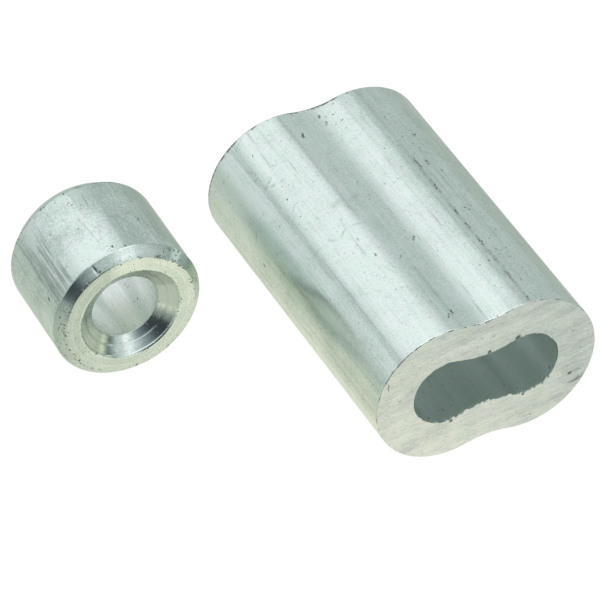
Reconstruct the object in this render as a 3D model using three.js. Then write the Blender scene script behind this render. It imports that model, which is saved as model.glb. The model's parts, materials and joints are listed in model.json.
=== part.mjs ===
// A crimp ferrule and a crimp stop for 4.76 mm (3/16 in) wire rope, lying loose side by side.
//
// double_ferrule  an hourglass extrusion: two rope barrels joined by a waist, open from end to end, sawn to length.
//                 Two passes of the rope lie side by side in it, and a press squeezes it to close an eye.
// stop_button     a short turned barrel with one round bore, chamfered and countersunk.
//                 It slides onto a rope's end and is squeezed there as a stop.
//
// Millimetres, +Z up. Both pieces lie on the ground plane z = 0 with their passages along Y.
// The origin is the middle of the set's footprint, on the ground.

import * as THREE from 'three';

// Driving dimensions, in mm.
const ropeDiameter = 4.76;

const ferruleLength = 25.4;
const ferruleWall = 2.8;
const ferruleBoreClearance = 0.39;   // barrel bore over rope diameter
const barrelPitch = 5.75;            // between the two barrels' axes
const passageWaist = 4.26;           // height of the passage at its middle
const ferruleWaist = 10.06;          // height of the outside at its middle

const stopDiameter = 10.86;
const stopLength = 8.9;
const stopBoreClearance = 0.14;      // bore over rope diameter
const frontChamfer = 0.67;           // 45 degrees
const backChamferDepth = 0.75;       // off the radius
const backChamferLength = 1.0;       // along the axis
const countersinkRadius = 3.7;       // at the front face
const countersinkStepRadius = 3.05;  // where its outer cone meets its inner cone
const countersinkStepDepth = 0.5;
const countersinkDepth = 0.95;       // where its inner cone meets the bore
const backBoreChamfer = 0.3;

// How the two pieces lie.
const gapBetween = 4.32;             // clear space between the ferrule's side and the stop's
const stopBehind = 8.85;             // from the ferrule's middle to the stop's, along Y
const stopTurn = THREE.MathUtils.degToRad(1.1);   // the stop lies this far off parallel

// How finely round surfaces are cut into flats.
const arcSegments = 20;
const turnedSegments = 96;

const aluminium = { metalness: 1.0 };

// An hourglass outline: two circles of one radius, a pitch apart along X, with concave fillets between them
// that leave the given height at the middle.
function addHourglass(path, radius, waistHeight) {
  const halfPitch = barrelPitch / 2;
  const halfWaist = waistHeight / 2;
  const fillet = (halfPitch ** 2 + halfWaist ** 2 - radius ** 2) / (2 * (radius - halfWaist));
  const filletHeight = halfWaist + fillet;
  const meet = Math.atan2(filletHeight, -halfPitch);   // where the right circle runs into the upper fillet
  path.absarc(halfPitch, 0, radius, -meet, meet, false);
  path.absarc(0, filletHeight, fillet, meet - Math.PI, -meet, true);
  path.absarc(-halfPitch, 0, radius, Math.PI - meet, Math.PI + meet, false);
  path.absarc(0, -filletHeight, fillet, meet, Math.PI - meet, true);
  return path;
}

function makeFerrule() {
  const boreRadius = (ropeDiameter + ferruleBoreClearance) / 2;
  const outerRadius = boreRadius + ferruleWall;
  const outline = addHourglass(new THREE.Shape(), outerRadius, ferruleWaist);
  outline.holes.push(addHourglass(new THREE.Path(), boreRadius, passageWaist));
  const geometry = new THREE.ExtrudeGeometry(outline, {
    depth: ferruleLength,
    bevelEnabled: false,
    curveSegments: arcSegments,
  });
  geometry.translate(0, 0, -ferruleLength / 2);
  const material = new THREE.MeshStandardMaterial({ ...aluminium, color: 0xb4bdb6, roughness: 0.36 });
  const mesh = new THREE.Mesh(geometry, material);
  mesh.name = 'double_ferrule';
  mesh.rotation.x = Math.PI / 2;   // the extrusion's Z runs along Y
  mesh.position.z = outerRadius;
  return mesh;
}

// The stop's half section, as radius and distance along the axis, once round from the countersink's mouth.
function stopProfile() {
  const front = -stopLength / 2;
  const back = stopLength / 2;
  const radius = stopDiameter / 2;
  const boreRadius = (ropeDiameter + stopBoreClearance) / 2;
  const mouth = new THREE.Vector2(countersinkRadius, front);
  return [
    mouth,
    new THREE.Vector2(radius - frontChamfer, front),
    new THREE.Vector2(radius, front + frontChamfer),
    new THREE.Vector2(radius, back - backChamferLength),
    new THREE.Vector2(radius - backChamferDepth, back),
    new THREE.Vector2(boreRadius + backBoreChamfer, back),
    new THREE.Vector2(boreRadius, back - backBoreChamfer),
    new THREE.Vector2(boreRadius, front + countersinkDepth),
    new THREE.Vector2(countersinkStepRadius, front + countersinkStepDepth),
    mouth,
  ];
}

function makeStop() {
  const geometry = new THREE.LatheGeometry(stopProfile(), turnedSegments);
  const material = new THREE.MeshStandardMaterial({ ...aluminium, color: 0xb9c2bb, roughness: 0.32 });
  const mesh = new THREE.Mesh(geometry, material);
  mesh.name = 'stop_button';
  mesh.rotation.z = -stopTurn;
  return mesh;
}

const ferrule = makeFerrule();
const ferruleWidth = barrelPitch + ropeDiameter + ferruleBoreClearance + 2 * ferruleWall;
const stop = makeStop();
stop.position.set(-(ferruleWidth / 2 + gapBetween + stopDiameter / 2), stopBehind, stopDiameter / 2);

const group = new THREE.Group();
group.add(ferrule, stop);

// Move the set so that the middle of its footprint is the origin.
const footprint = new THREE.Box3().setFromObject(group, true);
const middle = footprint.getCenter(new THREE.Vector3());
group.position.set(-middle.x, -middle.y, 0);
group.updateMatrixWorld(true);

export default group;
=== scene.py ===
"""A wire rope ferrule and a round rope stop in bare aluminium, lying on a white ground.

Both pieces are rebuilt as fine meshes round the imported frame. Saw marks, die lines, pits, scratches and
turned steps are cut into the metal, inwards from the CAD surface. Only the saw's burr stands out of it,
into the near mouth of the ferrule's passage, inside the CAD box.
Lengths are in millimetres until a mesh or an object is made.
"""

import json
import math

import bpy
import numpy as np
from mathutils import Matrix, Vector


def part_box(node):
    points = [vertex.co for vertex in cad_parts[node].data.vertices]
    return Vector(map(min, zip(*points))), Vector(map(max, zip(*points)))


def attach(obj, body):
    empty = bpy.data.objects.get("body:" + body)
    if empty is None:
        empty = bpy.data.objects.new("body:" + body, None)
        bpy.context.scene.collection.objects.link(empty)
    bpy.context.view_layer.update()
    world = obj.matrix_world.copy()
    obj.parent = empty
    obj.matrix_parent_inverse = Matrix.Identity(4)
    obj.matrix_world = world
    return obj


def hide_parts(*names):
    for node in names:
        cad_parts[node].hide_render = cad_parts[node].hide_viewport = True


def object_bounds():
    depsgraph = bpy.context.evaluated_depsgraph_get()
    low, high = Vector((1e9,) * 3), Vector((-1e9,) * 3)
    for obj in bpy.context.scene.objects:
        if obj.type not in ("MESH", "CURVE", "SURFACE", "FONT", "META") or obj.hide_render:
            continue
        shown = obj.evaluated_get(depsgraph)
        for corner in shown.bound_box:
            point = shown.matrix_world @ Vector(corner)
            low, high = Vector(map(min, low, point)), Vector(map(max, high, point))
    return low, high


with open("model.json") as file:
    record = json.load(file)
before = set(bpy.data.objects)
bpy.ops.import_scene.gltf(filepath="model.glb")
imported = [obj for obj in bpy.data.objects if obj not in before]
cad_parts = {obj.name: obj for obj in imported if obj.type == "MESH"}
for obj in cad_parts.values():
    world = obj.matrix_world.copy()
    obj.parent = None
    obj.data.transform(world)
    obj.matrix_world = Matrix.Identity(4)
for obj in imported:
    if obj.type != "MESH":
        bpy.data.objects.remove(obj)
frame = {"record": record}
cad_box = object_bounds()

MM = 0.001


# ---------------------------------------------------------------- sizes, some from the frame and the rest given

def box_mm(node):
    low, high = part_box(node)
    return np.array(low) / MM, np.array(high) / MM


def mount_mm(name):
    found = next(m for m in frame["record"]["mounts"] if m["name"] == name)
    return np.array(found["pos_m"]) / MM, np.array(found["axis"])


FERRULE_LOW, FERRULE_HIGH = box_mm("double_ferrule")
FERRULE_MIDDLE = (FERRULE_LOW + FERRULE_HIGH) / 2
FERRULE_LENGTH = FERRULE_HIGH[1] - FERRULE_LOW[1]
BARREL_PITCH = 5.75
WALL = 2.8
OUTER_RADIUS = (FERRULE_HIGH[0] - FERRULE_LOW[0] - BARREL_PITCH) / 2
BORE_RADIUS = OUTER_RADIUS - WALL
OUTER_WAIST = 10.06
PASSAGE_WAIST = 4.26
SKIN = 0.004              # the surface starts this far inside the CAD solid

STOP_FRONT, STOP_FACING = mount_mm("stop_front_end")
STOP_BACK = mount_mm("stop_back_end")[0]
STOP_LOW, STOP_HIGH = box_mm("stop_button")
STOP_RADIUS = (STOP_HIGH[2] - STOP_LOW[2]) / 2
STOP_LENGTH = 8.9
STOP_BORE = 2.45
FRONT_CHAMFER = 0.67
BACK_CHAMFER_DEPTH = 0.75
BACK_CHAMFER_LENGTH = 1.0
SINK_MOUTH = 3.7
SINK_DEPTH = 0.95
BACK_BORE_CHAMFER = 0.3

# Small steps that the tool left in the countersink: radius, depth, spacing of what follows, rounding.
SINK_STEPS = [
    (2.98, 0.60, 0.03, 0.015),
    (3.05, 0.53, 0.05, 0.02),
    (3.56, 0.14, 0.03, 0.015),
    (3.61, 0.07, 0.04, 0.015),
]


# ---------------------------------------------------------------- noise and marks

CELLS_U, CELLS_V = 251, 257    # the noise repeats after so many cells


def value_noise(u, v, seed):
    """Smooth noise from -1 to 1, with one cell to a unit of u and of v."""
    table = np.random.default_rng(seed).uniform(-1, 1, (CELLS_U, CELLS_V))
    i, j = np.floor(u).astype(int), np.floor(v).astype(int)
    a, b = u - i, v - j
    a, b = a * a * (3 - 2 * a), b * b * (3 - 2 * b)
    i0, i1 = i % CELLS_U, (i + 1) % CELLS_U
    j0, j1 = j % CELLS_V, (j + 1) % CELLS_V
    low = table[i0, j0] * (1 - a) + table[i1, j0] * a
    high = table[i0, j1] * (1 - a) + table[i1, j1] * a
    return low * (1 - b) + high * b


def octaves(u, v, seed, count=3):
    """Value noise summed over halving cells, within -1 to 1."""
    total = sum(value_noise(u * 2**k, v * 2**k, seed + k) / 2**k for k in range(count))
    return total / (2 - 2.0 ** (1 - count))


def smooth_step(x, low, high):
    t = np.clip((x - low) / (high - low), 0, 1)
    return t * t * (3 - 2 * t)


def between(x, low, high, soft=0.8):
    """1 from low to high, falling to 0 over a soft edge outside them."""
    return smooth_step(x, low - soft, low) * smooth_step(-x, -high - soft, -high)


def ridge(x, middle, width):
    """1 at the middle, falling to 0 about two widths away."""
    return np.exp(-(((x - middle) / width) ** 2))


def stamp(u, v, marks):
    """The strongest of many marks at each point. A mark is (u, v, length, width, turn, strength). Its
    length runs along v at a turn of 0 degrees."""
    total = np.zeros_like(u)
    for mu, mv, length, width, turn, strength in marks:
        reach = max(length, width)
        close = (np.abs(u - mu) < reach) & (np.abs(v - mv) < reach)
        if close.any():
            c, s = math.cos(math.radians(turn)), math.sin(math.radians(turn))
            du, dv = u[close] - mu, v[close] - mv
            along, across = du * s + dv * c, du * c - dv * s
            height = strength * np.exp(-((2 * along / length) ** 4) - (2 * across / width) ** 2)
            total[close] = np.maximum(total[close], height)
    return total


def banded(u, v, bands):
    """The sum of soft-edged patches. A patch is its strength, then low, high and soft for u and for v."""
    total = 0
    for strength, *edges in bands:
        total = total + strength * between(u, *edges[:3]) * between(v, *edges[3:])
    return total


def scattered(seed, count, *ranges):
    """Marks strewn at random. Each of a mark's six numbers has its own (low, high)."""
    rng = np.random.default_rng(seed)
    return list(zip(*[rng.uniform(low, high, count) for low, high in ranges]))


ANY_TURN = (0, 180)


# ---------------------------------------------------------------- meshes

def ring_mesh(name, rows, origin, materials):
    """A closed mesh from rows of points that join up both ways. A row is (points, part, local, wear): part
    is the material of the faces that follow it, local is the place on the piece, and wear is three numbers
    for the material."""
    points = np.array([row[0] for row in rows])
    count, columns, _ = points.shape
    index = np.arange(count * columns).reshape(count, columns)
    down = np.roll(index, -1, 0)
    quads = np.stack([index, np.roll(index, -1, 1), np.roll(down, -1, 1), down], -1).reshape(-1, 4)
    flat = points.reshape(-1, 3)
    a, b, c, d = (flat[quads[:, k]] for k in range(4))
    if np.sum(np.cross(a, b) * c) + np.sum(np.cross(a, c) * d) < 0:
        quads = quads[:, ::-1]
    mesh = bpy.data.meshes.new(name)
    mesh.from_pydata((flat * MM).tolist(), [], quads.tolist())
    for material in materials:
        mesh.materials.append(material)
    mesh.polygons.foreach_set("material_index", np.repeat([row[1] for row in rows], columns))
    mesh.polygons.foreach_set("use_smooth", np.ones(len(quads), bool))
    # The second layer holds pitting, scoring and shade; on some faces its shade and scoring hold painted
    # light and shade.
    for layer, place in (("local", 2), ("marks_and_shade", 3)):
        values = np.array([row[place] for row in rows], np.float32)
        mesh.attributes.new(layer, "FLOAT_VECTOR", "POINT").data.foreach_set("vector", values.ravel())
    mesh.update()
    piece = bpy.data.objects.new(name, mesh)
    bpy.context.scene.collection.objects.link(piece)
    piece.location = Vector(origin) * MM
    return piece


def hourglass(radius, waist, counts):
    """The hourglass outline, counter-clockwise from the lower right: its points and outward normals."""
    half_pitch, half_waist = BARREL_PITCH / 2, waist / 2
    fillet = (half_pitch**2 + half_waist**2 - radius**2) / (2 * (radius - half_waist))
    height = half_waist + fillet
    meet = math.atan2(height, -half_pitch)
    arcs = [
        (half_pitch, 0, radius, -meet, meet, 1),
        (0, height, fillet, meet - math.pi, -meet, -1),
        (-half_pitch, 0, radius, math.pi - meet, math.pi + meet, 1),
        (0, -height, fillet, meet, math.pi - meet, -1),
    ]
    points, normals = [], []
    for (x, z, r, start, end, side), count in zip(arcs, counts):
        turn = start + (end - start) * np.arange(count) / count
        direction = np.stack([np.cos(turn), np.sin(turn)], -1)
        points.append(np.array([x, z]) + r * direction)
        normals.append(side * direction)
    return np.concatenate(points), np.concatenate(normals)


def arc_from_top(outline):
    """Distance round the outline from the top of its waist, positive to the right."""
    steps = np.linalg.norm(np.roll(outline, -1, 0) - outline, axis=1)
    along = np.cumsum(steps) - steps
    above = np.where(outline[:, 1] > 0, np.abs(outline[:, 0]), np.inf)
    away = along[np.argmin(above)] - along
    return (away + steps.sum() / 2) % steps.sum() - steps.sum() / 2


# ---------------------------------------------------------------- the ferrule

CIRCLE_STEPS, FILLET_STEPS = 146, 26      # points round the section, to each of its arcs
SIDE_ROWS, PASSAGE_ROWS = 150, 38         # rows along it, besides those at the corners
FAR_END_STEPS, NEAR_END_STEPS = 19, 31    # rows across the wall at the sawn ends
SIDE, SAWN, PASSAGE = 0, 1, 2
AROUND = (-23, 23)                        # the whole outside, in arc_from_top distances
CORNER_REACH = 0.3                        # the rows nearer to an end than this are CORNER's
ALONG = (CORNER_REACH, FERRULE_LENGTH - CORNER_REACH)
WHOLE_LENGTH = (0, FERRULE_LENGTH, 1)
SEAM_LEFT, SEAM_RIGHT = -6.88, -6.52      # a twin die line along the left barrel
BESIDE_SEAM = (SEAM_LEFT - 0.3, SEAM_RIGHT + 0.4)
SCORE_LINE = 3.42                         # the pitted line along the right barrel
CORNER = np.array([0, 0.012, 0.03, 0.055, 0.09, 0.14, 0.2])
SAWN_EDGE, INNER_EDGE = 0.05, 0.008       # radii of the outer and inner edges of a sawn end
SAW_TILT = 4                              # the saw strokes rise to the right by so many degrees
BURR_HEIGHT = 0.24

# Wear on the outside: (round, along from the near end, length, width, turn, strength).
SIDE_PITS = [
    (0.10, 23.4, 0.6, 0.26, 15, 0.8), (1.14, 23.2, 0.24, 0.2, 0, 0.85), (0.56, 22.9, 0.2, 0.18, 0, 0.8),
    (0.02, 24.3, 0.5, 0.3, 20, 0.8), (0.95, 24.0, 0.3, 0.2, 60, 0.8), (-2.06, 22.7, 0.75, 0.26, 12, 1.0),
    (-0.30, 13.0, 0.26, 0.22, 0, 0.9), (-0.16, 9.9, 0.55, 0.3, 30, 0.8), (-0.44, 10.6, 0.7, 0.14, 20, 0.8),
    (0.0, 10.2, 0.2, 0.16, 0, 0.8), (-0.35, 9.6, 0.24, 0.16, 40, 0.8),
    (-3.44, 9.2, 0.3, 0.22, 0, 0.9), (-2.0, 8.3, 0.6, 0.16, 35, 0.7), (-4.1, 10.8, 0.36, 0.16, 140, 0.8),
    (-2.3, 4.4, 0.4, 0.16, 80, 0.85), (-2.44, 3.3, 0.3, 0.15, 20, 0.8), (-2.0, 1.5, 0.9, 0.26, 25, 0.75),
    (-1.6, 1.8, 0.6, 0.24, 10, 0.85), (3.54, 16.2, 1.8, 0.2, 0, 0.95), (4.2, 16.2, 0.9, 0.6, 20, 0.6),
    (4.2, 10.7, 0.8, 0.5, 10, 0.55), (-10.7, 16.6, 0.6, 0.16, 10, 0.8), (-6.6, 20.1, 0.6, 0.14, 60, 0.85),
    (-5.4, 19.7, 0.24, 0.22, 0, 0.8), (-5.9, 17.9, 0.2, 0.18, 0, 0.9), (-5.9, 23.2, 0.22, 0.2, 0, 0.9),
    (-9.44, 22.5, 0.26, 0.22, 0, 0.8), (3.8, 21.7, 0.6, 0.22, 80, 0.75), (-9.0, 19.6, 0.5, 0.2, 30, 0.7),
    *scattered(21, 170, AROUND, ALONG, (0.1, 0.45), (0.09, 0.17), ANY_TURN, (0.2, 0.6)),
    *scattered(22, 44, (-2.6, 1.6), (22.2, 25), (0.14, 0.5), (0.08, 0.15), ANY_TURN, (0.35, 0.75)),
    *scattered(26, 40, BESIDE_SEAM, ALONG, (0.12, 0.5), (0.07, 0.13), ANY_TURN, (0.3, 0.6)),
    *scattered(23, 150, (2.9, 5.2), (0.5, 20), (0.14, 0.5), (0.09, 0.2), (-30, 30), (0.3, 0.85)),
]
SIDE_SCRATCHES = [
    (-6.3, 20.2, 1.3, 0.1, 62, 0.8), (-5.7, 19.7, 1.1, 0.1, 100, 0.8), (-4.3, 12.4, 1.0, 0.12, 50, 0.7),
    (-5.2, 12.4, 0.8, 0.12, 140, 0.7), (-3.3, 15.2, 1.2, 0.5, 70, 0.4), (-2.0, 15.2, 1.0, 0.4, 60, 0.35),
    (-9.4, 18.3, 0.8, 0.1, 60, 0.8), (-8.65, 15.3, 1.0, 0.12, 135, 0.8), (2.4, 19.0, 0.8, 0.1, 40, 0.7),
    (-6.8, 12.4, 1.4, 0.1, 88, 0.5), (-1.2, 20.3, 1.4, 0.08, 80, 0.5), (1.2, 21.0, 1.6, 0.08, 70, 0.45),
    (-0.9, 16.7, 0.8, 0.1, 30, 0.5), (-3.2, 12.6, 1.1, 0.1, 85, 0.5),
    *scattered(24, 170, AROUND, ALONG, (0.3, 1.8), (0.05, 0.1), (-80, 80), (0.2, 0.6)),
    *scattered(25, 70, AROUND, ALONG, (1.5, 6), (0.06, 0.1), (-3, 3), (0.25, 0.7)),
]
PASSAGE_PITS = [
    (-2.95, 0.1, 0.26, 0.22, 0, 1.0), (2.55, 0.1, 0.2, 0.22, 0, 1.0),
    *scattered(73, 60, (-14, 14), (0.1, 9), (0.12, 0.5), (0.1, 0.2), ANY_TURN, (0.35, 0.9)),
    *scattered(75, 14, (-12, -6.5), (0.05, 1.2), (0.16, 0.36), (0.14, 0.24), ANY_TURN, (0.7, 1)),
    *scattered(76, 6, (8, 12), (0.05, 1.2), (0.16, 0.4), (0.12, 0.2), ANY_TURN, (0.7, 1)),
]

# Painted light and shade on the outside: bands of its tone made duller, or brighter below 0, standing in for
# reflections and shade. The strength, then the edges and softness round the section, then the same along it.
SIDE_PAINTED_LIGHT_AND_SHADE = [
    (-0.2, -6.2, -2.9, 0.3, *WHOLE_LENGTH),
    (0.16, 2, 12, 0.6, *WHOLE_LENGTH),
    (-0.15, 0, 1.6, 0.3, *WHOLE_LENGTH),
    (0.25, -11.4, -9.6, 0.7, 0, 15, 4),
    (0.25, -11.7, -10.2, 0.6, 0, 6, 3),
    (-0.2, -9, -7.1, 0.3, *WHOLE_LENGTH),
    (0.12, -9, -7.1, 0.3, 6, 15, 4),
    (-0.25, -10.2, -8, 0.6, 17, 26, 4),
    (0.3, 7.3, 9.5, 0.5, 0, 17, 4),
]

# Wear on the sawn ends: (right, up from the section's middle, length, width, turn, strength).
SMUDGES = [
    (6.9, -3.0, 1.9, 0.5, 78, 1.0), (6.3, -1.5, 1.6, 0.3, 84, 0.9), (6.6, -2.2, 1.6, 0.3, 80, 1.0),
    (5.2, -4.0, 1.6, 0.3, 80, 0.6), (7.0, 0.1, 1.0, 0.3, 80, 0.5), (-5.9, -3.9, 1.6, 0.3, 82, 0.6),
    (-6.9, -1.8, 0.5, 0.4, 80, 0.5), (1.7, -3.6, 0.8, 0.5, 80, 0.4), (-6.2, 0.6, 1.8, 0.6, 70, 0.35),
    *scattered(53, 24, (5.9, 7.6), (-3.4, 0.4), (0.4, 1.3), (0.07, 0.13), (80, 90), (0.5, 1.0)),
]
NEAR_FACE_PITS = [
    (-7.28, 2.25, 0.95, 0.1, 4, 0.95), (-0.66, 2.95, 0.3, 0.16, 0, 1.0), (0.25, 2.25, 0.4, 0.3, 75, 1.0),
    (2.4, 2.62, 0.5, 0.36, 70, 1.0), (-2.7, -2.65, 0.3, 0.3, 0, 1.0), (2.75, -2.62, 0.3, 0.3, 0, 1.0),
    (4.25, -2.2, 0.34, 0.2, 20, 1.0), (4.7, -1.9, 0.3, 0.18, 30, 0.9),
    *scattered(51, 60, (-8, 8), (-5.3, 5.3), (0.12, 0.34), (0.1, 0.16), (70, 100), (0.45, 0.9)),
]
FAR_FACE_PITS = scattered(52, 70, (-8, 8), (-5.3, 5.3), (0.12, 0.4), (0.1, 0.2), (60, 110), (0.4, 0.9))


def corner_tuck(distance, edge):
    """How far a wall is drawn in, this far from its end, by an edge rounded to that radius."""
    inside = np.clip(edge - distance, 0, edge)
    return edge - np.sqrt(edge**2 - inside**2)


def near_edge_radius(u):
    """The saw dragged the top of the near edge over, in flecks."""
    flecks = np.clip(value_noise(u / 0.22, 0 * u, 82), 0, 1)
    return 0.6 * SAWN_EDGE + 0.08 * flecks * between(u, -7, 6.5, 3)


def rim_darkness(u, thick, seed):
    """A dark line along a sawn edge, thick over some stretches (low, high) of it."""
    most = np.max([between(u, low, high) for low, high in thick], axis=0)
    return np.clip(0.42 + 0.5 * most + 0.6 * value_noise(u / 0.25, 0 * u, seed), 0, 1)


def outside_wear_and_painted_shade(u, v):
    """How deep the outside is worn at u round and v along from the near end, and its pitting, scoring and
    shade; the shade holds random tone, the strip's tone and bands of painted light and shade.
    """
    die = 0.0018 * value_noise(u / 0.62, v / 70, 11) + 0.0006 * value_noise(u / 0.23, v / 45, 12)
    wave = 0.003 * octaves(u / 2.6, v / 8, 13, 2)
    fading = 0.72 + 0.5 * octaves(u / 0.3, v / 1.8, 14, 3)
    seam = ridge(u, SEAM_LEFT, 0.07) + 0.8 * ridge(u, SEAM_RIGHT, 0.07)
    strip = between(u, SEAM_LEFT, SEAM_RIGHT, 0.1)
    broken = 0.7 + 0.3 * value_noise(u / 0.2, v / 0.45, 15)
    score = np.maximum(ridge(u, SCORE_LINE, 0.15), 0.5 * ridge(u, SCORE_LINE - 0.42, 0.1)) * broken
    score = score * (0.6 + 0.4 * between(v, 0, 16, 3))
    near_line = ridge(u, -1.7, 0.07) * between(v, 0, 6, 2)
    far_line = ridge(u, -2.72, 0.14) * between(v, 14, 26, 2)
    thin = np.maximum(near_line, far_line)
    old = ridge(u, -11.0, 0.16) * between(v, 0, 5, 3)
    scratched = stamp(u, v, SIDE_SCRATCHES)
    rims = np.maximum(
        ridge(v, FERRULE_LENGTH, 0.24) * rim_darkness(u, [(-10.5, -7), (-1.5, 1.8)], 16),
        ridge(v, 0.02, 0.035) * rim_darkness(u, [(-8.5, -5)], 17),
    )
    pitting = np.max([stamp(u, v, SIDE_PITS), 0.82 * score, rims], axis=0)
    scoring = np.clip(0.6 * score + 0.5 * thin + 0.4 * old + scratched, 0, 1)
    depth = 0.012 + die + wave + 0.006 * seam + 0.025 * pitting**2 + 0.006 * scratched + 0.008 * score
    shade = (0.5 * strip + 0.3 * seam) * fading + 0.3 * score + 0.25 * thin
    # Random tone, and the bands of painted light and shade.
    shade = shade + 0.12 * octaves(u / 1.4, v / 4, 31, 4) + banded(u, v, SIDE_PAINTED_LIGHT_AND_SHADE)
    return np.maximum(depth, 0), pitting, scoring, shade


def sawn_wear(x, z, marks, seed):
    """The same four for a sawn end, at x and z from the section's middle."""
    tilt = math.radians(SAW_TILT)
    across = z * math.cos(tilt) - x * math.sin(tilt)
    along = x * math.cos(tilt) + z * math.sin(tilt)
    strokes = 0.5 + 0.5 * octaves(across / 0.3, along / 9, seed, 2)
    chatter = 0.5 + 0.5 * octaves(across / 1.7, along / 7, seed + 3, 2)
    smudge = stamp(x, z, SMUDGES)
    pitting = np.clip(0.55 * smudge + stamp(x, z, marks), 0, 1)
    streaky = octaves(across / 0.4, along / 3, seed + 5, 3)
    patchy = octaves(x / 2.2, z / 1.5, seed + 9, 2)
    shade = 0.35 * streaky + 0.35 * patchy + 1.2 * smudge
    return 0.004 * strokes + 0.006 * chatter, pitting, 0.3 * strokes, shade


def passage_wear(u, v):
    """The same four for the passage, at u round it and v along it from the near end."""
    draw = 0.5 + 0.5 * octaves(u / 0.8, v / 40, 71, 3)
    return 0.008 * draw, stamp(u, v, PASSAGE_PITS), 0.25 * draw, 0.6 * octaves(u / 1.2, v / 8, 74, 3)


def burr(inner):
    """How far the saw's burr stands into the passage at the near end: a ragged fringe on its lower edge."""
    x, z = inner[:, 0], inner[:, 1]
    ragged = BURR_HEIGHT * np.clip(0.25 + value_noise(x / 0.13, z / 0.5, 81), 0, 1) ** 1.4
    low = smooth_step(-z, 0.5, 1.6) * (0.25 + 0.75 * np.exp(-(((x - 0.6) / 4) ** 4)))
    return ragged * (low + 0.3 * smooth_step(z, 0.8, 1.6))


def ferrule_row(flat, y, part, marks_and_shade):
    local = np.stack([flat[:, 0], np.broadcast_to(y, len(flat)), flat[:, 1]], -1)
    return local - np.array([0, FERRULE_LENGTH / 2, 0]), part, local, np.stack(marks_and_shade, -1)


def ferrule_rows():
    """Rows of points round the section: out along the outside, over the far end, back along the passage and
    over the near end."""
    counts = [CIRCLE_STEPS, FILLET_STEPS] * 2
    outer, outward = hourglass(OUTER_RADIUS - SKIN, OUTER_WAIST - 2 * SKIN, counts)
    inner, inward = hourglass(BORE_RADIUS + SKIN, PASSAGE_WAIST + 2 * SKIN, counts)
    u_outer, u_inner = arc_from_top(outer), arc_from_top(inner)
    dragged = near_edge_radius(u_outer)
    sharp = np.full(len(outer), SAWN_EDGE)
    crisp = np.full(len(inner), INNER_EDGE)
    fringe = burr(inner)
    rows = []

    between_ends = np.linspace(*ALONG, SIDE_ROWS)
    for v in np.concatenate([CORNER, between_ends, FERRULE_LENGTH - CORNER[::-1]]):
        depth, *marks_and_shade = outside_wear_and_painted_shade(u_outer, np.full(len(outer), v))
        depth = depth + corner_tuck(v, dragged) + corner_tuck(FERRULE_LENGTH - v, sharp)
        y = np.clip(v, 2 * SKIN, FERRULE_LENGTH - 2 * SKIN)
        rows.append(ferrule_row(outer - outward * depth[:, None], y, SIDE, marks_and_shade))

    def sawn_end(shares, edge, teeth, y, inwards, marks, seed):
        """Rows over an end, at these shares of the way from the passage to the outside."""
        outside = outer - outward * (edge + 0.012)[:, None]
        inside = inner + inward * (INNER_EDGE + 0.004)
        for share in shares:
            at = inside + (outside - inside) * share
            torn = teeth * math.exp(-((share * WALL / 0.08) ** 2))
            at = at - inward * torn[:, None]
            depth, pitting, scoring, shade = sawn_wear(at[:, 0], at[:, 1], marks, seed)
            marks_and_shade = pitting, scoring, shade - 3 * torn
            flat_part = smooth_step(share, 0, 0.03) * smooth_step(1 - share, 0, 0.03)
            rows.append(ferrule_row(at, y + inwards * (2 * SKIN + depth * flat_part), SAWN, marks_and_shade))

    inwards_over_far_end = [0.994, *np.linspace(1, 0, FAR_END_STEPS)[1:-1], 0.006]
    sawn_end(inwards_over_far_end, sharp, 0 * fringe, FERRULE_LENGTH, -1, FAR_FACE_PITS, 61)

    behind_burr = [*CORNER, 0.27, 0.35, 0.45]
    middle = np.geomspace(2 * CORNER_REACH, FERRULE_LENGTH - CORNER_REACH, PASSAGE_ROWS)
    for v in np.concatenate([behind_burr, middle, FERRULE_LENGTH - CORNER[5::-1]])[::-1]:
        depth, *marks_and_shade = passage_wear(u_inner, np.full(len(inner), v))
        depth = depth + corner_tuck(v, crisp) + corner_tuck(FERRULE_LENGTH - v, crisp)
        depth = depth - fringe * math.exp(-((v / 0.1) ** 2))
        y = np.clip(v, 2 * SKIN, FERRULE_LENGTH - 2 * SKIN)
        rows.append(ferrule_row(inner + inward * depth[:, None], y, PASSAGE, marks_and_shade))

    outwards_over_near_end = [0.006, *np.linspace(0, 1, NEAR_END_STEPS)[1:-1], 0.994]
    sawn_end(outwards_over_near_end, dragged, fringe, 0, 1, NEAR_FACE_PITS, 41)
    return rows


# ---------------------------------------------------------------- the stop

STOP_STEPS = 480                          # points round it
BARREL, TURNED, DRILLED = 0, 1, 2
STOP_AROUND = (-17, 17)                   # the whole barrel, as distances round it from the top

# Wear on the barrel: (round from the top, along from the front, length, width, turn, strength).
BARREL_PITS = [
    (-1.4, 6.75, 0.4, 0.14, 30, 0.9), (-1.15, 6.5, 0.16, 0.14, 0, 0.8), (2.46, 3.5, 0.7, 0.16, 35, 0.8),
    (-1.0, 0.98, 0.16, 0.14, 0, 0.9), (-0.8, 1.15, 0.3, 0.12, 60, 0.8), (-0.75, 0.9, 0.2, 0.12, 90, 0.8),
    (-0.5, 1.2, 0.26, 0.22, 0, 0.9), (-6.6, 2.0, 0.4, 0.26, 0, 1.0), (0.3, 0.85, 0.3, 0.26, 0, 0.85),
    (-1.8, 4.2, 0.22, 0.2, 0, 0.8), (-3.6, 5.4, 0.3, 0.2, 0, 0.8), (0.9, 5.2, 0.3, 0.18, 10, 0.8),
    *scattered(101, 220, STOP_AROUND, (0.8, 8), (0.1, 0.36), (0.08, 0.16), ANY_TURN, (0.25, 0.65)),
]
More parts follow.
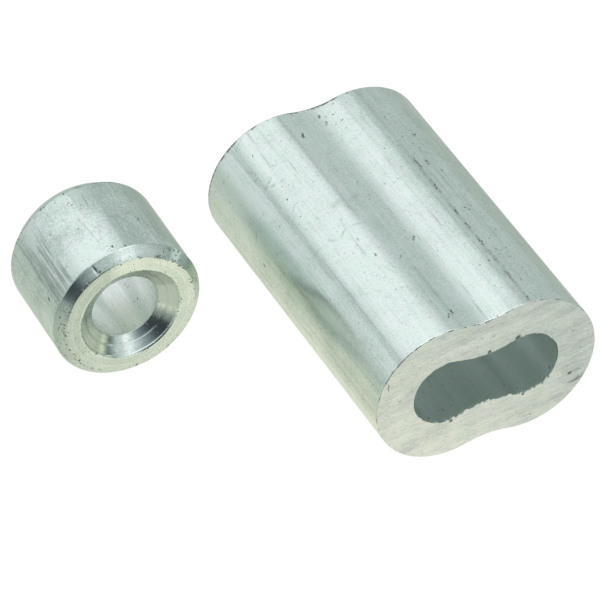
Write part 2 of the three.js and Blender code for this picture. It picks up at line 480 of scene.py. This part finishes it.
BARREL_SCRATCHES = [
    (-4.64, 2.9, 4.6, 0.13, 0, 1.0), (-4.9, 4.2, 3.0, 0.1, 0, 0.8),
    *scattered(102, 40, STOP_AROUND, (1, 7.6), (0.6, 3.5), (0.06, 0.12), (-6, 6), (0.3, 0.8)),
    *scattered(103, 40, (-6.2, -4), (1, 6), (1.5, 4), (0.07, 0.14), (-3, 3), (0.4, 0.9)),
    *scattered(104, 30, STOP_AROUND, (1, 7.6), (0.5, 1.6), (0.06, 0.12), (-80, 80), (0.3, 0.6)),
]
# On the turned faces the second number is the distance along the section from the front of the bore.
TURNED_PITS = [
    *scattered(105, 90, STOP_AROUND, (0, 3.6), (0.1, 0.3), (0.08, 0.16), ANY_TURN, (0.3, 0.7)),
    *scattered(106, 26, (2.4, 5.6), (2.5, 2.75), (0.1, 0.26), (0.08, 0.15), (60, 120), (0.6, 1.0)),
    *scattered(112, 30, (3, 9), (2.8, 3.6), (0.1, 0.4), (0.09, 0.18), ANY_TURN, (0.5, 0.9)),
    *scattered(114, 120, STOP_AROUND, (2.5, 2.8), (0.12, 0.34), (0.09, 0.15), ANY_TURN, (0.45, 1.0)),
    *scattered(115, 80, STOP_AROUND, (1.38, 1.7), (0.1, 0.3), (0.08, 0.14), ANY_TURN, (0.45, 0.95)),
    *scattered(116, 70, (-12, -6), (2.7, 3.7), (0.1, 0.3), (0.08, 0.16), ANY_TURN, (0.4, 0.9)),
]
BORE_PITS = scattered(107, 60, STOP_AROUND, (0.8, 8), (0.2, 0.4), (0.2, 0.3), ANY_TURN, (0.4, 0.9))

# Painted light and shade on the stop: bands of its tone made duller, or brighter below 0, standing in for
# reflections and shade. The strength, then the edges and softness round the stop, then the same along it or
# along the section.
ALL_ALONG = (0, STOP_LENGTH, 1)
BARREL_PAINTED_LIGHT_AND_SHADE = [
    (0.35, -0.9, 0.2, 0.2, 5, 8, 0.4),
    (-0.35, -3.2, 0, 0.3, 0, 3.4, 1.4),
    (0.22, -0.8, 2.3, 0.4, *ALL_ALONG),
    (0.3, 0.5, 1.7, 0.3, *ALL_ALONG),
    (0.35, 2.9, 9, 0.6, *ALL_ALONG),
    (0.8, 4.2, 6, 0.5, *ALL_ALONG),
    (0.15, -0.3, 0.8, 0.3, *ALL_ALONG),
    (-0.2, -5.3, -4.5, 0.3, *ALL_ALONG),
]
ALL_ROUND = (-18, 18, 1)                  # past half way round the stop, each way
IN_SINK = (0, 1.5, 0.1)                   # where the turned faces lie along the section
ON_RING = (1.65, 2.6, 0.1)
ON_CHAMFER = (2.75, 3.6, 0.1)
CHAMFER_EDGE = (3.62, 4, 0.05)
# Painted light and shade on the turned faces: in the countersink, on the ring, on the chamfer and along the
# chamfer's edge.
TURNED_PAINTED_LIGHT_AND_SHADE = [
    (0.8, 4, 9.6, 0.7, *IN_SINK),
    (0.8, -12.5, -7.7, 0.7, *IN_SINK),
    (-0.5, -6.6, 1.8, 0.7, *IN_SINK),
    (0.38, -11, -2, 1, *ON_RING),
    (-0.25, -0.5, 1.6, 0.5, *ON_RING),
    (1.1, 4, 9, 0.7, *ON_CHAMFER),
    (0.55, -11, -6.5, 1, *ON_CHAMFER),
    (0.3, -3.2, -0.7, 0.6, *ON_CHAMFER),
    (0.8, *ALL_ROUND, *CHAMFER_EDGE),
]
# Painted shade in the countersink, carried as scoring: grime-coloured, rougher and sunk.
SINK_PAINTED_SHADE = [                               # scoring, with no scratches in it
    (0.45, 3.6, 6.2, 0.6, *IN_SINK),
    (0.25, -12.1, -8.3, 0.6, *IN_SINK),
]


def stop_corners():
    """Once round the half section from the front of the bore: radius, depth from the front, the material
    and spacing of the stretch that follows, and how far the corner is rounded."""
    r = STOP_RADIUS - SKIN
    back = STOP_LENGTH - SKIN
    return [
        (STOP_BORE + SKIN, SINK_DEPTH + 0.02, TURNED, 0.05, 0.02),
        *((radius, depth, TURNED, spacing, rounding) for radius, depth, spacing, rounding in SINK_STEPS),
        (SINK_MOUTH + 0.02, 2 * SKIN, TURNED, 0.06, 0.03),
        (r - FRONT_CHAMFER, 2 * SKIN, TURNED, 0.05, 0.05),
        (r, FRONT_CHAMFER, BARREL, 0.13, 0.07),
        (r, back - BACK_CHAMFER_LENGTH, TURNED, 0.16, 0.08),
        (r - BACK_CHAMFER_DEPTH, back, TURNED, 0.25, 0.06),
        (STOP_BORE + BACK_BORE_CHAMFER, back, TURNED, 0.12, 0.05),
        (STOP_BORE + SKIN, back - BACK_BORE_CHAMFER, DRILLED, 0.35, 0.05),
    ]


def rounded_section(corners):
    """Stations (radius, depth, material) round a closed section, with its corners cut by small curves."""
    stations = []
    for k, (r, s, part, spacing, rounding) in enumerate(corners):
        start = np.array([r, s])
        end = np.array(corners[(k + 1) % len(corners)][:2])
        beyond = np.array(corners[(k + 2) % len(corners)][:2])
        next_rounding = corners[(k + 1) % len(corners)][4]
        way = (end - start) / np.linalg.norm(end - start)
        onward = (beyond - end) / np.linalg.norm(beyond - end)
        first, last = start + way * rounding, end - way * next_rounding
        steps = max(1, round(np.linalg.norm(last - first) / spacing))
        for share in np.arange(steps + 1) / steps:
            stations.append((*(first + (last - first) * share), part))
        after = end + onward * next_rounding
        for t in (1 / 3, 2 / 3):
            curve = last * (1 - t) ** 2 + end * 2 * t * (1 - t) + after * t**2
            stations.append((*curve, part))
    return stations


def barrel_wear_and_painted_shade(arc, s):
    """The same four for the stop's barrel, at arc round from its top and s along from its front."""
    flecks = 0.5 + 0.3 * value_noise(arc / 0.4, 0 * arc, 117)
    rim = ridge(s, STOP_LENGTH - BACK_CHAMFER_LENGTH, 0.14) * flecks
    pitting = np.maximum(stamp(arc, s, BARREL_PITS), rim)
    scratched = stamp(arc, s, BARREL_SCRATCHES)
    rubbed = between(arc, -6, -4.2, 0.4)
    depth = 0.016 + 0.005 * octaves(arc / 1.4, s / 2.0, 103, 3)
    depth = depth + 0.002 * value_noise(arc / 0.5, s / 12, 109)
    depth = depth + 0.025 * pitting**2 + 0.007 * scratched
    # Random tone, and the bands of painted light and shade on the barrel.
    shade = 0.35 * octaves(arc / 1.3, s / 1.8, 104, 4) + banded(arc, s, BARREL_PAINTED_LIGHT_AND_SHADE)
    return depth, pitting, np.clip(scratched + 0.15 * rubbed, 0, 1), shade


def turned_wear_and_painted_shade(arc, travel):
    """The same four for the turned faces, at the distance travelled along the section from the bore."""
    patchy = 0.15 * octaves(arc / 1.6, travel / 0.25, 110, 3)
    rings = 0.12 * value_noise(0 * arc, travel / 0.12, 113)
    # Patchy and ringed tone, and the bands of painted light and shade.
    shade = patchy + rings + banded(arc, travel, TURNED_PAINTED_LIGHT_AND_SHADE)
    # The scoring returned here is painted shade in the countersink.
    return 0 * arc, stamp(arc, travel, TURNED_PITS), banded(arc, travel, SINK_PAINTED_SHADE), shade


def bore_wear(arc, s):
    """The same four for the stop's bore."""
    depth = 0.004 + 0.004 * octaves(arc / 1.5, s / 3, 108, 3)
    return depth, stamp(arc, s, BORE_PITS), 0 * arc + 0.1, 0.3 * octaves(arc / 2, s / 2, 111, 3)


NICK_AT, NICK_DEPTH, NICK_WIDTH = -26, 0.07, 0.09     # degrees round from the top, mm, mm


def nick(phi, r, s):
    """A small notch knocked into the front chamfer, at upper left, about three times as long as wide."""
    away = np.hypot(np.radians(phi - NICK_AT) * STOP_RADIUS, (s - FRONT_CHAMFER / 2) * 0.35)
    return NICK_DEPTH * np.exp(-((away / NICK_WIDTH) ** 2)) * (r > STOP_RADIUS - 1.2 * FRONT_CHAMFER)


def stop_rows():
    """Rows of points round the axis, one to a station of the half section."""
    phi = (np.arange(STOP_STEPS) / STOP_STEPS * 360 + 180) % 360 - 180
    arc = np.radians(phi) * STOP_RADIUS
    sine, cosine = np.sin(np.radians(phi)), np.cos(np.radians(phi))
    axis = -STOP_FACING
    right, up = np.array([axis[1], -axis[0], 0]), np.array([0, 0, 1])
    around = sine[:, None] * right + cosine[:, None] * up
    rows = []
    travel, last = 0.0, None
    for r, s, part in rounded_section(stop_corners()):
        travel += math.dist((r, s), last) if last else 0.0
        last = (r, s)
        marks_and_shade_of = {BARREL: barrel_wear_and_painted_shade, TURNED: turned_wear_and_painted_shade, DRILLED: bore_wear}[part]
        depth, *marks_and_shade = marks_and_shade_of(arc, np.full(STOP_STEPS, travel if part == TURNED else s))
        radius = r + depth if part == DRILLED else r - depth - nick(phi, r, s)
        points = around * radius[:, None] + axis * (s - STOP_LENGTH / 2)
        local = np.stack([sine * r, np.full(STOP_STEPS, s), cosine * r], -1)
        rows.append((points, part, local, np.stack(marks_and_shade, -1)))
    return rows


# ---------------------------------------------------------------- shader helpers

def put(tree, socket, value):
    if isinstance(value, bpy.types.NodeSocket):
        tree.links.new(value, socket)
    else:
        socket.default_value = value


def add(tree, kind, **inputs):
    """A node with its inputs set by name: a socket is linked, and anything else is its value."""
    made = tree.nodes.new(kind)
    for name, value in inputs.items():
        put(tree, made.inputs[name.replace("_", " ")], value)
    return made


def maths(tree, operation, a, b=0.0, c=0.0):
    made = tree.nodes.new("ShaderNodeMath")
    made.operation = operation
    for socket, value in zip(made.inputs, (a, b, c)):
        put(tree, socket, value)
    return made.outputs[0]


def vector_maths(tree, operation, a, b):
    made = tree.nodes.new("ShaderNodeVectorMath")
    made.operation = operation
    put(tree, made.inputs[0], a)
    put(tree, made.inputs[1], b)
    return made.outputs["Value"] if operation == "DOT_PRODUCT" else made.outputs[0]


def ranged(tree, value, low, high, to_low=0.0, to_high=1.0):
    """value taken from low..high to to_low..to_high, with smooth ends."""
    made = tree.nodes.new("ShaderNodeMapRange")
    made.interpolation_type = "SMOOTHSTEP"
    ends = (value, low, high, to_low, to_high)
    for name, x in zip(("Value", "From Min", "From Max", "To Min", "To Max"), ends):
        put(tree, made.inputs[name], x)
    return made.outputs["Result"]


def noise(tree, vector, scale, detail=2.0, roughness=0.5):
    """Smooth noise about 0, with scale cells to a unit."""
    made = add(tree, "ShaderNodeTexNoise", Vector=vector, Scale=scale, Detail=detail, Roughness=roughness)
    return maths(tree, "SUBTRACT", made.outputs["Fac"], 0.5)


def weighted(tree, start, *terms):
    """start plus each term, a (socket, weight)."""
    total = start
    for socket, weight in terms:
        total = maths(tree, "MULTIPLY_ADD", socket, weight, total)
    return total


def mixed(tree, share, a, b, blend="MIX"):
    made = tree.nodes.new("ShaderNodeMix")
    made.data_type = "RGBA"
    made.blend_type = blend
    put(tree, made.inputs["Factor"], share)
    put(tree, made.inputs[6], a)
    put(tree, made.inputs[7], b)
    return made.outputs[2]


def attribute(tree, name):
    made = tree.nodes.new("ShaderNodeAttribute")
    made.attribute_name = name
    return made.outputs["Vector"]


# ---------------------------------------------------------------- bare metal

def lengthwise(tree, place):
    """Coordinates in which round noise becomes lines along the piece."""
    return vector_maths(tree, "MULTIPLY", place, (1, 0.02, 1))


def saw_strokes(tree, place):
    """Coordinates in which round noise becomes saw strokes, rising a little to the right."""
    turned = add(tree, "ShaderNodeVectorRotate", Vector=place, Angle=math.radians(SAW_TILT))
    turned.rotation_type = "Y_AXIS"
    return vector_maths(tree, "MULTIPLY", turned.outputs[0], (0.22, 2.4, 2.4))


def lathe_rings(tree, place):
    """Coordinates in which round noise becomes rings about the piece's axis."""
    x, y, z = add(tree, "ShaderNodeSeparateXYZ", Vector=place).outputs
    radius = maths(tree, "SQRT", maths(tree, "MULTIPLY_ADD", x, x, maths(tree, "MULTIPLY", z, z)))
    return add(tree, "ShaderNodeCombineXYZ", X=radius, Y=y).outputs[0]


GRIME_AND_PAINTED_SHADE = (0.075, 0.095, 0.1, 1)
PINKISH = (1.018, 0.99, 1.014, 1)
GREENISH = (0.96, 1.0, 0.965, 1)
USUAL_TONE = 0.32         # on the way from pale metal, 0, to dull metal, 1


def metal(name, grain, pale, dull, rough, streaks, blotches, relief):
    """Bare aluminium: streaked along its grain, mottled, with pits and scores where the wear says. streaks
    and blotches are how strongly the two show in its colour, and relief is the grain's depth in mm."""
    material = bpy.data.materials.new(name)
    material.use_nodes = True
    tree = material.node_tree
    tree.nodes.clear()
    place = attribute(tree, "local")
    # shade darkens the tone, and brightens it below 0; on the outside, the barrel and the turned faces it
    # holds painted light and shade.
    pitting, scoring, shade = add(tree, "ShaderNodeSeparateXYZ", Vector=attribute(tree, "marks_and_shade")).outputs

    # Streaks along the grain, and blotches with no direction.
    grained = grain(tree, place)
    broad = noise(tree, grained, 2.4, 3.0, 0.65)
    fine = noise(tree, grained, 9.0, 2.0, 0.6)
    patches = noise(tree, place, 0.5, 3.0, 0.6)
    grit = noise(tree, place, 7.0, 2.0, 0.6)
    stain = ranged(tree, noise(tree, place, 1.5, 4.0, 0.7), 0.03, 0.26)
    tone = weighted(tree, USUAL_TONE, (broad, streaks), (fine, 1.6 * streaks), (shade, 1.0))
    tone = weighted(tree, tone, (patches, blotches), (grit, 1.9 * blotches), (stain, 0.4 * blotches))
    base = mixed(tree, tone, pale, dull)
    hue = weighted(tree, 0.5, (noise(tree, place, 0.9, 2.0), 1.6), (broad, 1.2))
    base = mixed(tree, 1.0, base, mixed(tree, ranged(tree, hue, 0, 1), PINKISH, GREENISH), "MULTIPLY")

    # Pits with ragged edges, small specks, and scores: all filled with grime, dull and sunk. On the turned
    # faces the scores also carry painted shade in the countersink, in the same grime colour.
    ragged = fine if grain is saw_strokes else grit
    pit = ranged(tree, weighted(tree, pitting, (ragged, 1.2)), 0.36, 0.8)
    speck = maths(tree, "MULTIPLY", ranged(tree, noise(tree, place, 5.0, 1.0), 0.235, 0.27), 0.6)
    dirt_and_painted_shade = maths(tree, "MAXIMUM", pit, speck)
    dirt_and_painted_shade = maths(tree, "MAXIMUM", dirt_and_painted_shade, maths(tree, "MULTIPLY", scoring, 0.62))
    height = weighted(tree, 0.0, (broad, relief), (fine, relief / 3), (grit, 0.0012), (dirt_and_painted_shade, -0.02))

    shader = tree.nodes.new("ShaderNodeBsdfPrincipled")
    shader.inputs["Metallic"].default_value = 1.0
    put(tree, shader.inputs["Base Color"], mixed(tree, maths(tree, "MULTIPLY", dirt_and_painted_shade, 0.85), base, GRIME_AND_PAINTED_SHADE))
    put(tree, shader.inputs["Roughness"], weighted(tree, rough, (patches, 0.1), (fine, 0.12), (dirt_and_painted_shade, 0.25)))
    bump = add(tree, "ShaderNodeBump", Height=height, Distance=MM, Strength=1.0)
    tree.links.new(bump.outputs[0], shader.inputs["Normal"])
    if grain is lathe_rings:
        shader.inputs["Anisotropic"].default_value = 0.8
        shader.inputs["Anisotropic Rotation"].default_value = 0.25
        tangent = tree.nodes.new("ShaderNodeTangent")
        tangent.direction_type = "RADIAL"
        tangent.axis = "Y"
        tree.links.new(tangent.outputs[0], shader.inputs["Tangent"])
    output = tree.nodes.new("ShaderNodeOutputMaterial")
    tree.links.new(shader.outputs[0], output.inputs["Surface"])
    return material


PALE = (0.905, 0.955, 0.925, 1)
DULL = (0.60, 0.665, 0.63, 1)
SAWN_PALE, SAWN_DULL = (0.975, 0.99, 1.0, 1), (0.76, 0.785, 0.83, 1)
PASSAGE_PALE, PASSAGE_DULL = (0.975, 1.0, 1.0, 1), (0.84, 0.91, 0.89, 1)
# The bore's metal is paler than the barrel's: painted light, to brighten the deep bore.
BORE_PALE, BORE_DULL = (0.995, 1.0, 0.985, 1), (0.84, 0.89, 0.85, 1)


def drawn_side():
    """The ferrule's outside, as it left the die."""
    look = dict(rough=0.24, streaks=0.6, blotches=0.75, relief=0.002)
    return metal("drawn_side", lengthwise, PALE, DULL, **look)


def sawn_ends():
    look = dict(rough=0.42, streaks=2.5, blotches=1.4, relief=0.005)
    return metal("sawn_end", saw_strokes, SAWN_PALE, SAWN_DULL, **look)


def drawn_passage():
    look = dict(rough=0.32, streaks=1.2, blotches=0.8, relief=0.004)
    return metal("drawn_passage", lengthwise, PASSAGE_PALE, PASSAGE_DULL, **look)


def bar_side():
    """The side of the bar that the stop was cut from."""
    look = dict(rough=0.3, streaks=0.4, blotches=1.4, relief=0.002)
    return metal("bar_side", lengthwise, PALE, DULL, **look)


def turned_face():
    look = dict(rough=0.17, streaks=0.8, blotches=0.9, relief=0.001)
    return metal("turned_face", lathe_rings, PALE, DULL, **look)


# Paler than the outside's metal: painted light in the bore.
def drilled_bore():
    look = dict(rough=0.26, streaks=0.6, blotches=0.6, relief=0.002)
    return metal("drilled_bore", lengthwise, BORE_PALE, BORE_DULL, **look)


# ---------------------------------------------------------------- the studio

def direction_of(azimuth, elevation):
    """Azimuth 0 is +Y and 90 is +X, in degrees."""
    a, e = math.radians(azimuth), math.radians(elevation)
    return Vector((math.sin(a) * math.cos(e), math.cos(a) * math.cos(e), math.sin(e)))


def panel(tree, sky, azimuth, elevation, half_width, half_height, soft_width, soft_height):
    """A soft-edged rectangle in the sky: 1 inside and 0 outside. All in degrees."""
    centre = direction_of(azimuth, elevation)
    right = direction_of(azimuth + 90, 0)
    up = right.cross(centre)
    ahead = maths(tree, "MAXIMUM", vector_maths(tree, "DOT_PRODUCT", sky, centre), 0.02)
    inside = 1.0
    for axis, half, soft in ((right, half_width, soft_width), (up, half_height, soft_height)):
        offset = maths(tree, "DIVIDE", vector_maths(tree, "DOT_PRODUCT", sky, axis), ahead)
        low, high = math.tan(math.radians(half - soft / 2)), math.tan(math.radians(half + soft / 2))
        within = ranged(tree, maths(tree, "ABSOLUTE", offset), low, high, 1.0, 0.0)
        inside = maths(tree, "MULTIPLY", inside, within)
    return inside


# azimuth, elevation, half width, half height, softness across and up, brightness added
SOFTBOXES = [
    (-8, 52, 24, 24, 8, 8, 0.27),       # the big one behind, whose right edge shows on the barrels
    (-38, 20, 18, 16, 16, 18, 0.14),    # its spill, low on the left
    (0, 89, 34, 34, 12, 12, 0.5),       # overhead
    (150, 32, 26, 30, 12, 16, 0.13),    # in front, right of the camera
    (158, 47, 12, 11, 8, 10, 0.25),
    (159, 24, 6, 6, 3, 4, 0.4),
]
# The same without a brightness: the dark low behind the camera, and a dim stretch on the right.
DARK_FRONT = (-154.5, 6, 33, 22, 6, 22)
DARK_RIGHT = (105, 0, 40, 30, 30, 30)
WALL_LIGHT, FRONT_LOSS, RIGHT_LOSS = 0.6, -0.56, -0.13
WALL_TINT, DARK_TINT = (0.885, 1.0, 0.98, 1), (0.72, 0.95, 1.15, 1)
LAMP_TINT = (1.02, 1.0, 1.06, 1)

# The light painted into the floor's glow, as the metal sees it: a painted pool of light in front of the set,
# and a painted shadow where the dark front goes on over the floor, as seen from a little above it at the
# stop.
POOL_MIDDLE = (-3, -14, 0)
POOL_SHAPE = (1 / 26, 1 / 34, 0)          # one over its reach across and along
POOL_LIGHT, FAR_LIGHT = (0.86, 0.875, 0.715, 1), (0.43, 0.5, 0.455, 1)
DIM_SEEN_FROM = (STOP_FRONT[0], STOP_FRONT[1], 4)
DIM_SHARE, DIM_LIGHT = 0.8, (0.05, 0.075, 0.085, 1)
SEEN_WHITE, PAPER = (1.06, 1.06, 1.06, 1), (0.9, 0.9, 0.84, 1)
FLOOR_HALF = 600


def make_world():
    world = bpy.data.worlds.new("studio")
    bpy.context.scene.world = world
    world.use_nodes = True
    tree = world.node_tree
    tree.nodes.clear()
    sky = tree.nodes.new("ShaderNodeTexCoord").outputs["Generated"]
    walls = maths(tree, "MULTIPLY_ADD", panel(tree, sky, *DARK_FRONT), FRONT_LOSS, WALL_LIGHT)
    walls = maths(tree, "MULTIPLY_ADD", panel(tree, sky, *DARK_RIGHT), RIGHT_LOSS, walls)
    lamps = 0.0
    for *place, brightness in SOFTBOXES:
        lamps = maths(tree, "MULTIPLY_ADD", panel(tree, sky, *place), brightness, lamps)
    wall_tint = mixed(tree, panel(tree, sky, *DARK_FRONT), WALL_TINT, DARK_TINT)
    wall = add(tree, "ShaderNodeBackground", Color=wall_tint, Strength=walls)
    lamp = add(tree, "ShaderNodeBackground", Color=LAMP_TINT, Strength=lamps)
    both = tree.nodes.new("ShaderNodeAddShader")
    tree.links.new(wall.outputs[0], both.inputs[0])
    tree.links.new(lamp.outputs[0], both.inputs[1])
    output = tree.nodes.new("ShaderNodeOutputWorld")
    tree.links.new(both.outputs[0], output.inputs["Surface"])


def make_floor():
    """White paper with a glow over it: it looks evenly white, and the metal sees a painted pool of light on
    it, brightest in front of the set, and a painted shadow.
    """
    half = FLOOR_HALF * MM
    mesh = bpy.data.meshes.new("floor")
    corners = [(-half, -half, 0), (half, -half, 0), (half, half, 0), (-half, half, 0)]
    mesh.from_pydata(corners, [], [(0, 1, 2, 3)])
    floor = bpy.data.objects.new("floor", mesh)
    bpy.context.scene.collection.objects.link(floor)
    material = bpy.data.materials.new("white_ground")
    material.use_nodes = True
    tree = material.node_tree
    tree.nodes.clear()
    metres = tree.nodes.new("ShaderNodeTexCoord").outputs["Object"]
    place = vector_maths(tree, "MULTIPLY", metres, (1 / MM,) * 3)
    from_pool = vector_maths(tree, "SUBTRACT", place, POOL_MIDDLE)
    from_pool = vector_maths(tree, "MULTIPLY", from_pool, POOL_SHAPE)
    away = maths(tree, "MULTIPLY", vector_maths(tree, "DOT_PRODUCT", from_pool, from_pool), -1.0)
    pool = maths(tree, "EXPONENT", away)
    seen = tree.nodes.new("ShaderNodeLightPath").outputs["Is Camera Ray"]
    light = mixed(tree, pool, FAR_LIGHT, POOL_LIGHT)
    from_stop = vector_maths(tree, "SUBTRACT", place, DIM_SEEN_FROM)
    dimmed = maths(tree, "MULTIPLY", panel(tree, from_stop, *DARK_FRONT), DIM_SHARE)
    light = mixed(tree, dimmed, light, DIM_LIGHT)
    glow = add(tree, "ShaderNodeEmission", Color=mixed(tree, seen, light, SEEN_WHITE), Strength=1.0)
    paper = add(tree, "ShaderNodeBsdfDiffuse", Color=PAPER)
    both = add(tree, "ShaderNodeMixShader", Fac=0.1)
    tree.links.new(glow.outputs[0], both.inputs[1])
    tree.links.new(paper.outputs[0], both.inputs[2])
    output = tree.nodes.new("ShaderNodeOutputMaterial")
    tree.links.new(both.outputs[0], output.inputs["Surface"])
    mesh.materials.append(material)


CAMERA_AZIMUTH, CAMERA_ELEVATION, CAMERA_ROLL = -25.26, 41.42, -2.255
CAMERA_DISTANCE = 363.2
CAMERA_AIM = Vector((0.26, -0.09, 5.4))      # from the middle of the set's footprint
CAMERA_LENS = 321.85


def make_camera():
    a, e, roll = (math.radians(x) for x in (CAMERA_AZIMUTH, CAMERA_ELEVATION, CAMERA_ROLL))
    back = Vector((math.sin(a) * math.cos(e), -math.cos(a) * math.cos(e), math.sin(e)))
    right = Vector((math.cos(a), math.sin(a), 0))
    up = back.cross(right)
    right, up = right * math.cos(roll) + up * math.sin(roll), up * math.cos(roll) - right * math.sin(roll)
    low, high = (Vector(corner) for corner in cad_box)
    aim = Vector(((low.x + high.x) / 2, (low.y + high.y) / 2, low.z)) + CAMERA_AIM * MM
    data = bpy.data.cameras.new("camera")
    data.lens = CAMERA_LENS
    data.sensor_width = 36
    data.clip_start = 0.01
    camera = bpy.data.objects.new("camera", data)
    bpy.context.scene.collection.objects.link(camera)
    place = Matrix.Translation(aim + back * CAMERA_DISTANCE * MM)
    camera.matrix_world = place @ Matrix((right, up, back)).transposed().to_4x4()
    bpy.context.scene.camera = camera


# ---------------------------------------------------------------- put together

make_camera()
make_world()
make_floor()
bpy.context.scene.view_settings.view_transform = "Standard"
bpy.context.scene.cycles.max_bounces = 16
bpy.context.scene.cycles.glossy_bounces = 16      # light crosses the passage many times

ferrule_origin = (FERRULE_MIDDLE[0], FERRULE_MIDDLE[1], OUTER_RADIUS)
ferrule_metals = [drawn_side(), sawn_ends(), drawn_passage()]
ferrule = ring_mesh("ferrule_body", ferrule_rows(), ferrule_origin, ferrule_metals)
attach(ferrule, "ferrule")
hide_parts("double_ferrule")

stop_origin = ((STOP_FRONT[0] + STOP_BACK[0]) / 2, (STOP_FRONT[1] + STOP_BACK[1]) / 2, STOP_RADIUS)
stop_metals = [bar_side(), turned_face(), drilled_bore()]
stop = ring_mesh("stop_body", stop_rows(), stop_origin, stop_metals)
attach(stop, "stop")
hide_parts("stop_button")
